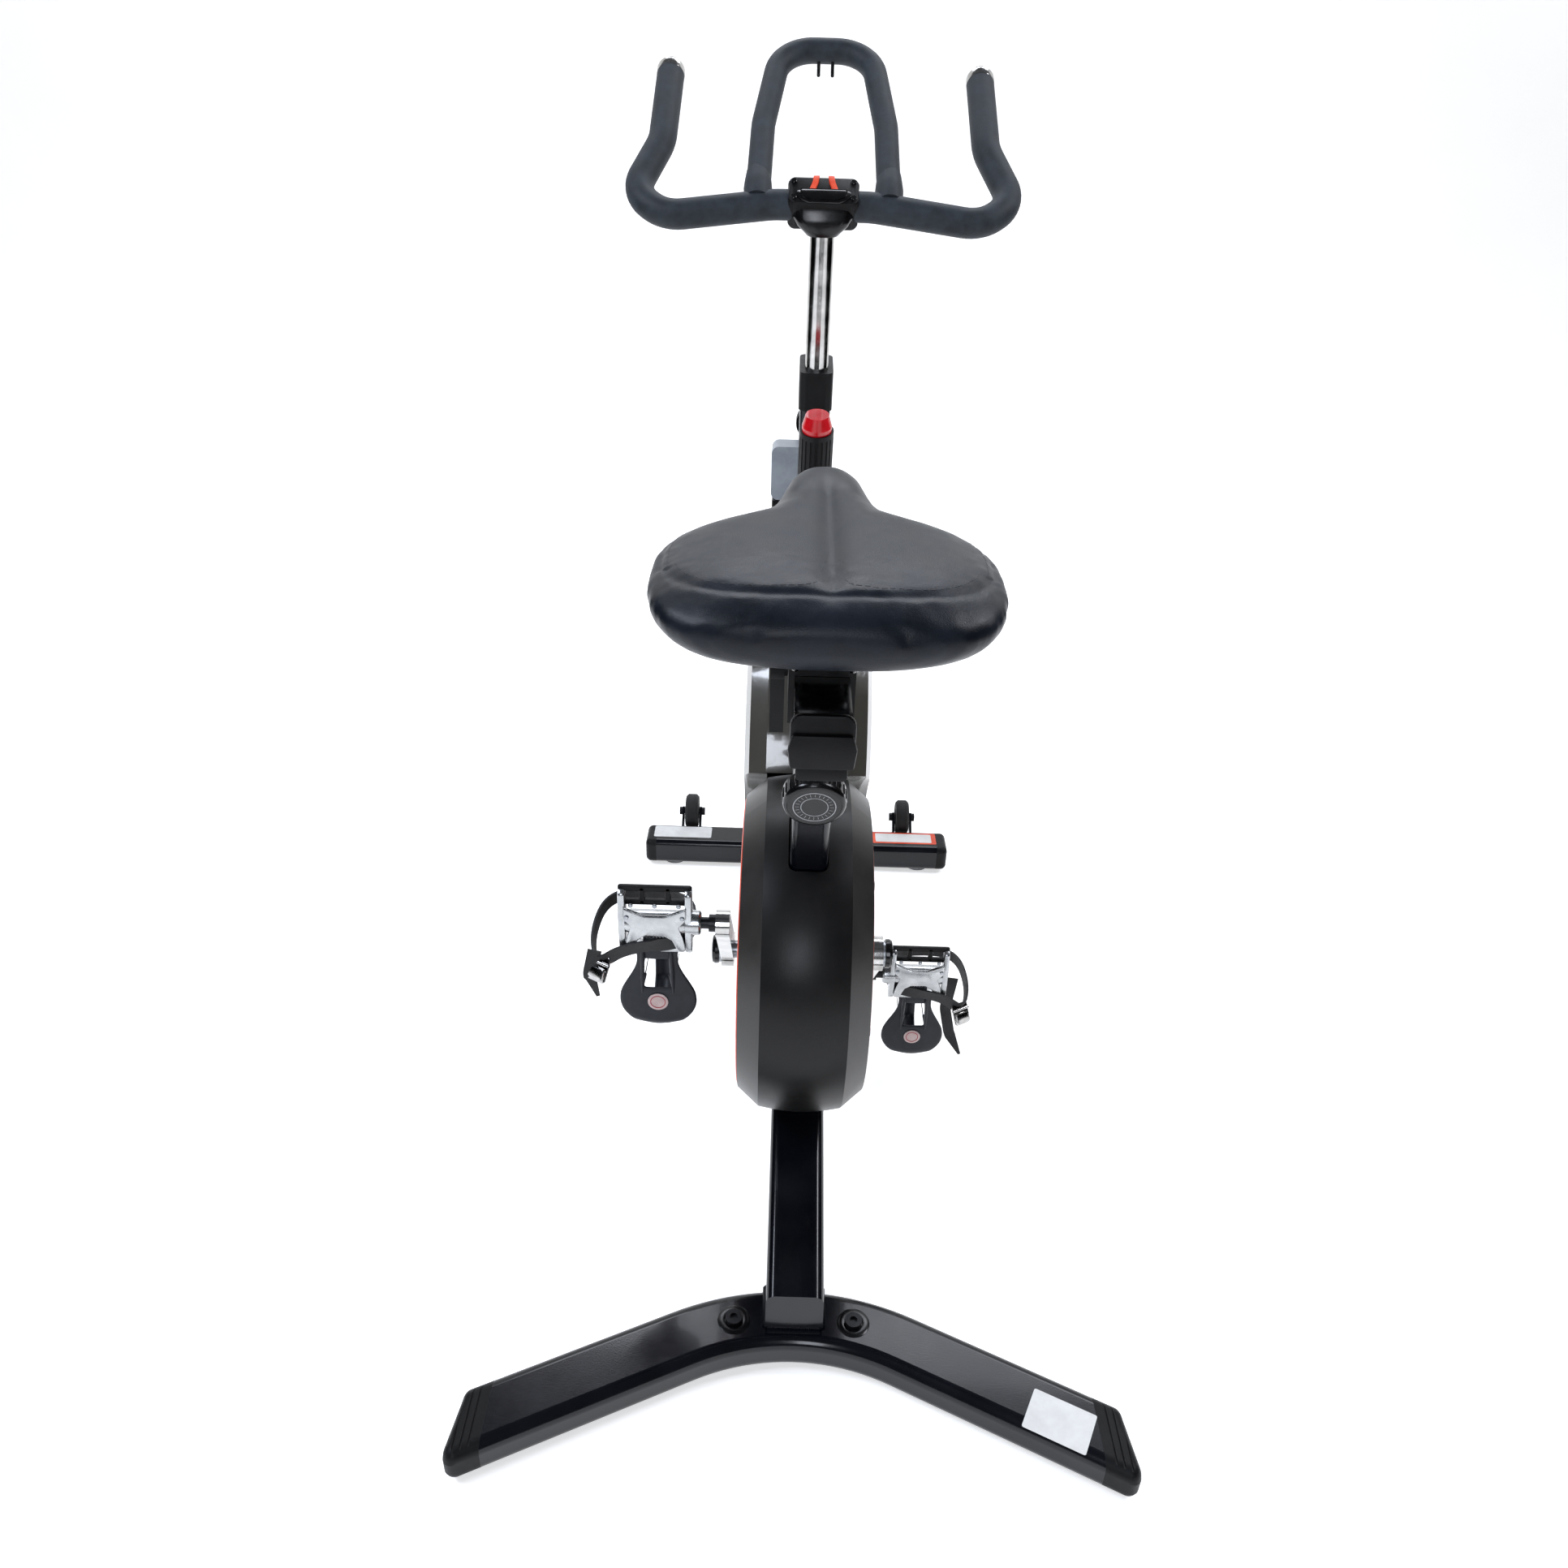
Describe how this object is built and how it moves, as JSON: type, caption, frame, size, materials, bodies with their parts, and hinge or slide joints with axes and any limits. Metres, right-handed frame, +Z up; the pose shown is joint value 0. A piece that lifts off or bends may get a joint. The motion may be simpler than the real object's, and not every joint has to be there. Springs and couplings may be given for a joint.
{
  "type": "exercise bike",
  "caption": "Indoor cycling trainer with an enclosed flywheel, padded saddle, looped handlebar, clip pedals with toe cages and a swept V rear foot",
  "frame": {"origin": "on the floor, in the middle of the bike's footprint", "axes": "+X to the rider's right, +Y forward to the handlebar, +Z up"},
  "size_m": [0.668, 1.1892, 1.2273],
  "materials": {
    "gloss_black_enamel": "gloss black powder coat",
    "satin_black_shell": "satin moulded shell",
    "gloss_side_shell": "glossy moulded side shell",
    "black_plastic": "moulded nylon",
    "grey_plastic": "pale grey moulded plastic",
    "red_plastic": "moulded red cap",
    "zinc_bolts": "zinc plated",
    "bearing_steel": "ground steel",
    "cast_flywheel": "turned and painted",
    "turned_steel": "turned steel",
    "black_pulley": "black anodised",
    "belt_rubber": "ribbed rubber",
    "forged_crank": "plated forged steel",
    "pedal_alloy": "cast and polished",
    "post_chrome": "plated steel",
    "pad_leather": "soft black leatherette",
    "grip_foam": "soft polyurethane skin",
    "strap_web": "nylon webbing",
    "wheel_rubber": "soft tyre"
  },
  "bodies": {
    "frame": {"rear_foot": "gloss_black_enamel", "front_foot": "gloss_black_enamel", "rear_leg": "gloss_black_enamel", "front_leg": "gloss_black_enamel", "bottom_bracket_shell": "gloss_black_enamel", "seat_tube": "gloss_black_enamel", "top_tube": "gloss_black_enamel", "front_column": "gloss_black_enamel", "fork_plates": "gloss_black_enamel", "idler_arm": "gloss_black_enamel", "foot_bolts": "zinc_bolts", "rear_foot_caps": "black_plastic", "front_foot_caps": "black_plastic", "drum_band": "satin_black_shell", "drum_cover_left": "gloss_side_shell", "drum_cover_right": "gloss_side_shell", "wheel_cover_left": "gloss_side_shell", "wheel_cover_right": "gloss_side_shell", "cover_screws": "zinc_bolts", "sensor_box": "grey_plastic", "shaft_bearings": "bearing_steel", "drive_belt": "belt_rubber", "seat_tube_sleeve": "black_plastic", "column_sleeve": "black_plastic"},
    "crankset": {"crank_axle": "turned_steel", "crank_pulley": "black_pulley", "crank_left": "forged_crank", "crank_right": "forged_crank", "pedal_spindle_left": "turned_steel", "pedal_spindle_right": "turned_steel"},
    "flywheel": {"flywheel": "cast_flywheel", "flywheel_axle": "turned_steel", "flywheel_pulley": "black_pulley"},
    "idler": {"idler_pulley": "turned_steel"},
    "pedal_left": {"pedal_body_left": "pedal_alloy", "toe_clip_left": "black_plastic", "toe_strap_left": "strap_web"},
    "pedal_right": {"pedal_body_right": "pedal_alloy", "toe_clip_right": "black_plastic", "toe_strap_right": "strap_web"},
    "magnet_arm": {"magnet_bracket": "turned_steel"},
    "knob": {"resistance_knob": "black_plastic"},
    "plunger": {"brake_plunger": "red_plastic"},
    "seat_mast": {"seat_post": "post_chrome"},
    "seat_pull": {"seat_pin": "black_plastic"},
    "carriage": {"saddle_slider": "black_plastic"},
    "carriage_lever": {"slider_lever": "black_plastic"},
    "saddle": {"saddle_clamp": "turned_steel", "saddle_base": "black_plastic", "saddle_pad": "pad_leather"},
    "handlebars": {"handlebar_post": "post_chrome", "handlebar": "grip_foam", "handlebar_clamp": "black_plastic"},
    "column_pull": {"column_pin": "black_plastic"},
    "wheel_left": {"transport_wheel_left": "wheel_rubber"},
    "wheel_right": {"transport_wheel_right": "wheel_rubber"},
    "level_rear_left": {"leveler_rear_left": "grey_plastic"},
    "level_rear_right": {"leveler_rear_right": "grey_plastic"},
    "level_front_left": {"leveler_front_left": "grey_plastic"},
    "level_front_right": {"leveler_front_right": "grey_plastic"}
  },
  "joints": [
    {"name": "crank_spin", "type": "hinge", "parent": "frame", "child": "crankset", "pos_m": [0, -0.147, 0.314], "axis": [1, 0, 0], "continuous": true},
    {"name": "flywheel_spin", "type": "hinge", "parent": "frame", "child": "flywheel", "pos_m": [0, 0.16, 0.42], "axis": [1, 0, 0], "continuous": true},
    {"name": "idler_spin", "type": "hinge", "parent": "frame", "child": "idler", "pos_m": [0, -0.017, 0.24549], "axis": [1, 0, 0], "continuous": true},
    {"name": "pedal_left_spin", "type": "hinge", "parent": "crankset", "child": "pedal_left", "pos_m": [-0.153, -0.26402, 0.43731], "axis": [1, 0, 0], "continuous": true},
    {"name": "pedal_right_spin", "type": "hinge", "parent": "crankset", "child": "pedal_right", "pos_m": [0.153, -0.02998, 0.19069], "axis": [1, 0, 0], "continuous": true},
    {"name": "resistance_turn", "type": "hinge", "parent": "frame", "child": "knob", "pos_m": [0, 0.23695, 0.73268], "axis": [0, -0.2685, 0.9633], "range_deg": [-540, 540]},
    {"name": "magnet_swing", "type": "hinge", "parent": "frame", "child": "magnet_arm", "pos_m": [0, 0.312, 0.54], "axis": [1, 0, 0], "range_deg": [-3, 3]},
    {"name": "brake_push", "type": "slide", "parent": "frame", "child": "plunger", "axis": [0, 0.2685, -0.9633], "range_m": [0, 0.006], "stiffness_N_per_m": 1500, "springref_m": -0.004},
    {"name": "seat_post_height", "type": "slide", "parent": "frame", "child": "seat_mast", "axis": [0, -0.3256, 0.9455], "range_m": [0, 0.17]},
    {"name": "seat_pin_pull", "type": "slide", "parent": "frame", "child": "seat_pull", "axis": [0, -0.9455, -0.3256], "range_m": [0, 0.008], "stiffness_N_per_m": 1200, "springref_m": -0.004},
    {"name": "saddle_fore_aft", "type": "slide", "parent": "seat_mast", "child": "carriage", "axis": [0, 1, 0], "range_m": [-0.05, 0.055]},
    {"name": "slider_lever_turn", "type": "hinge", "parent": "carriage", "child": "carriage_lever", "pos_m": [-0.036, -0.33, 0.752], "axis": [1, 0, 0], "range_deg": [-90, 0]},
    {"name": "saddle_tilt", "type": "hinge", "parent": "carriage", "child": "saddle", "pos_m": [0, -0.34, 0.79], "axis": [1, 0, 0], "range_deg": [-6, 6]},
    {"name": "handlebar_height", "type": "slide", "parent": "frame", "child": "handlebars", "axis": [0, -0.1305, 0.9914], "range_m": [-0.12, 0.1]},
    {"name": "column_pin_pull", "type": "slide", "parent": "frame", "child": "column_pull", "axis": [0, 0.9914, 0.1305], "range_m": [0, 0.008], "stiffness_N_per_m": 1200, "springref_m": -0.004},
    {"name": "wheel_left_spin", "type": "hinge", "parent": "frame", "child": "wheel_left", "pos_m": [-0.184, 0.5675, 0.06], "axis": [1, 0, 0], "continuous": true},
    {"name": "wheel_right_spin", "type": "hinge", "parent": "frame", "child": "wheel_right", "pos_m": [0.184, 0.5675, 0.06], "axis": [1, 0, 0], "continuous": true},
    {"name": "leveler_rear_left_screw", "type": "slide", "parent": "frame", "child": "level_rear_left", "axis": [0, 0, 1], "range_m": [-0.012, 0]},
    {"name": "leveler_front_left_screw", "type": "slide", "parent": "frame", "child": "level_front_left", "axis": [0, 0, 1], "range_m": [-0.012, 0]},
    {"name": "leveler_rear_right_screw", "type": "slide", "parent": "frame", "child": "level_rear_right", "axis": [0, 0, 1], "range_m": [-0.012, 0]},
    {"name": "leveler_front_right_screw", "type": "slide", "parent": "frame", "child": "level_front_right", "axis": [0, 0, 1], "range_m": [-0.012, 0]}
  ],
  "couplings": [
    {"joint": "flywheel_spin", "follows": "crank_spin", "ratio": 4},
    {"joint": "idler_spin", "follows": "crank_spin", "ratio": -7.3333},
    {"joint": "magnet_swing", "follows": "resistance_turn", "ratio": -0.0055}
  ]
}
